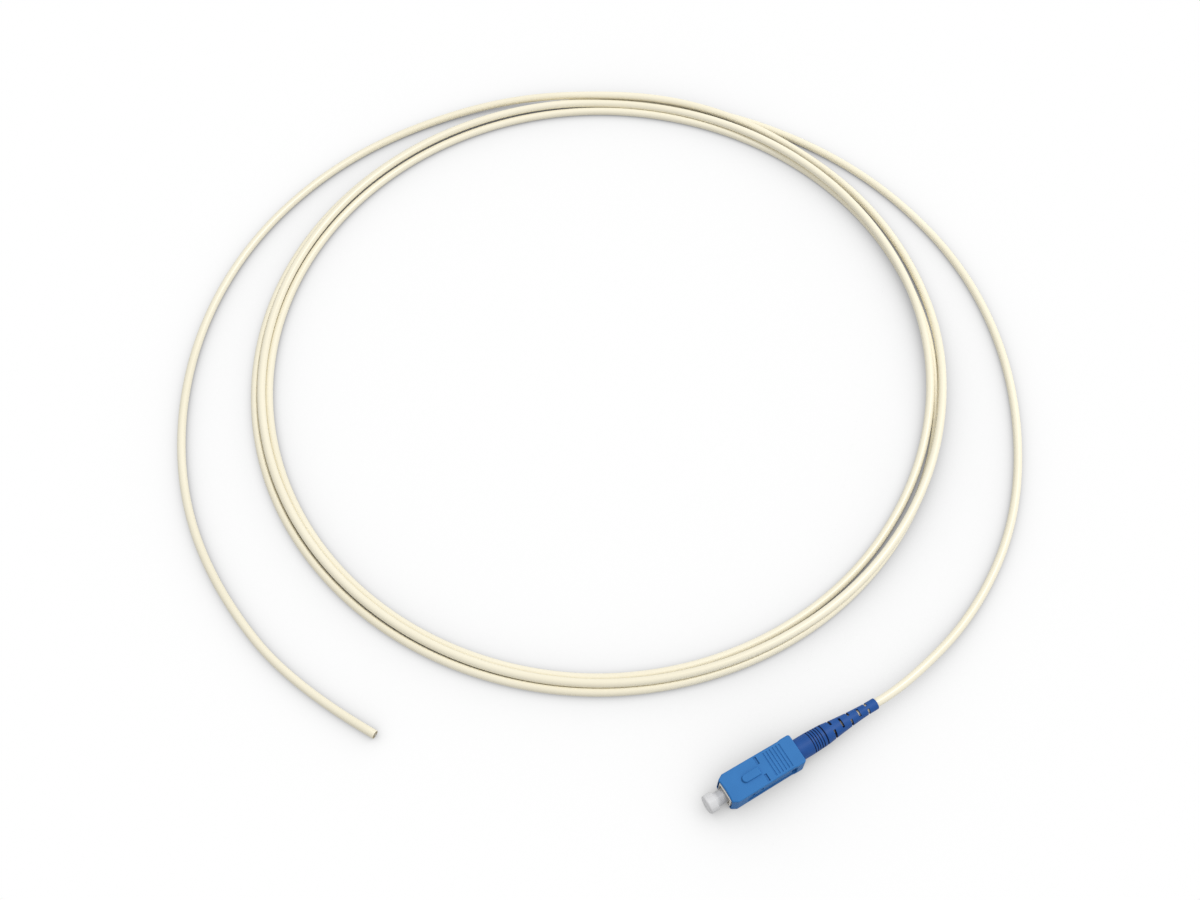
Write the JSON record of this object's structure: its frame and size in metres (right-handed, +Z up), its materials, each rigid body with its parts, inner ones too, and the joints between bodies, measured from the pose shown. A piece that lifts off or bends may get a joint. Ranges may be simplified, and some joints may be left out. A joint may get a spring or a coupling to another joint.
{
  "type": "fibre optic pigtail",
  "caption": "Simplex fibre optic pigtail: square push-pull plug with dust cap and slotted bend relief boot on a coiled ivory cable with a bare cut end.",
  "frame": {"origin": "middle of the plug on the floor, halfway between the front of the dust cap and the tip of the boot", "axes": "+X along the plug from its mating face towards the cable, +Y to the side where the coil lies, +Z up from the floor, key side up"},
  "size_m": [0.2636, 0.2627, 0.0081],
  "materials": {
    "housing_blue": "satin moulded plastic",
    "frame_white": "moulded plastic",
    "ferrule_ceramic": "polished ceramic",
    "plated_metal": "nickel plated",
    "spring_steel": "drawn wire",
    "crimp_metal": "drawn tube",
    "yarn_yellow": "loose filaments",
    "boot_blue": "soft moulded plastic",
    "cap_clear": "translucent soft plastic",
    "jacket_ivory": "satin cable jacket",
    "buffer_white": "extruded plastic",
    "fibre_glass": "clear"
  },
  "bodies": {
    "plug_body": {"plug_frame": "frame_white", "ferrule_spring": "spring_steel", "rear_body": "plated_metal", "crimp_sleeve": "crimp_metal", "aramid_yarn": "yarn_yellow", "strain_boot": "boot_blue", "cable_lead": "jacket_ivory", "cable_coil": "jacket_ivory", "cable_tail": "jacket_ivory", "tail_yarn": "yarn_yellow", "tail_buffer": "buffer_white", "tail_fibre": "fibre_glass"},
    "grip": {"outer_housing": "housing_blue"},
    "ferrule_group": {"ferrule": "ferrule_ceramic", "ferrule_flange": "plated_metal", "glass_fibre": "fibre_glass", "tight_buffer": "buffer_white"},
    "cap": {"dust_cap": "cap_clear"}
  },
  "joints": [
    {"name": "grip_slide", "type": "slide", "parent": "plug_body", "child": "grip", "axis": [1, 0, 0], "range_m": [-0.0012, 0.0008]},
    {"name": "ferrule_float", "type": "slide", "parent": "plug_body", "child": "ferrule_group", "axis": [1, 0, 0], "range_m": [0, 0.0015], "stiffness_N_per_m": 2500, "deforming": ["ferrule_spring"]},
    {"name": "cap_pull", "type": "slide", "parent": "ferrule_group", "child": "cap", "axis": [-1, 0, 0], "range_m": [0, 0.012]}
  ]
}
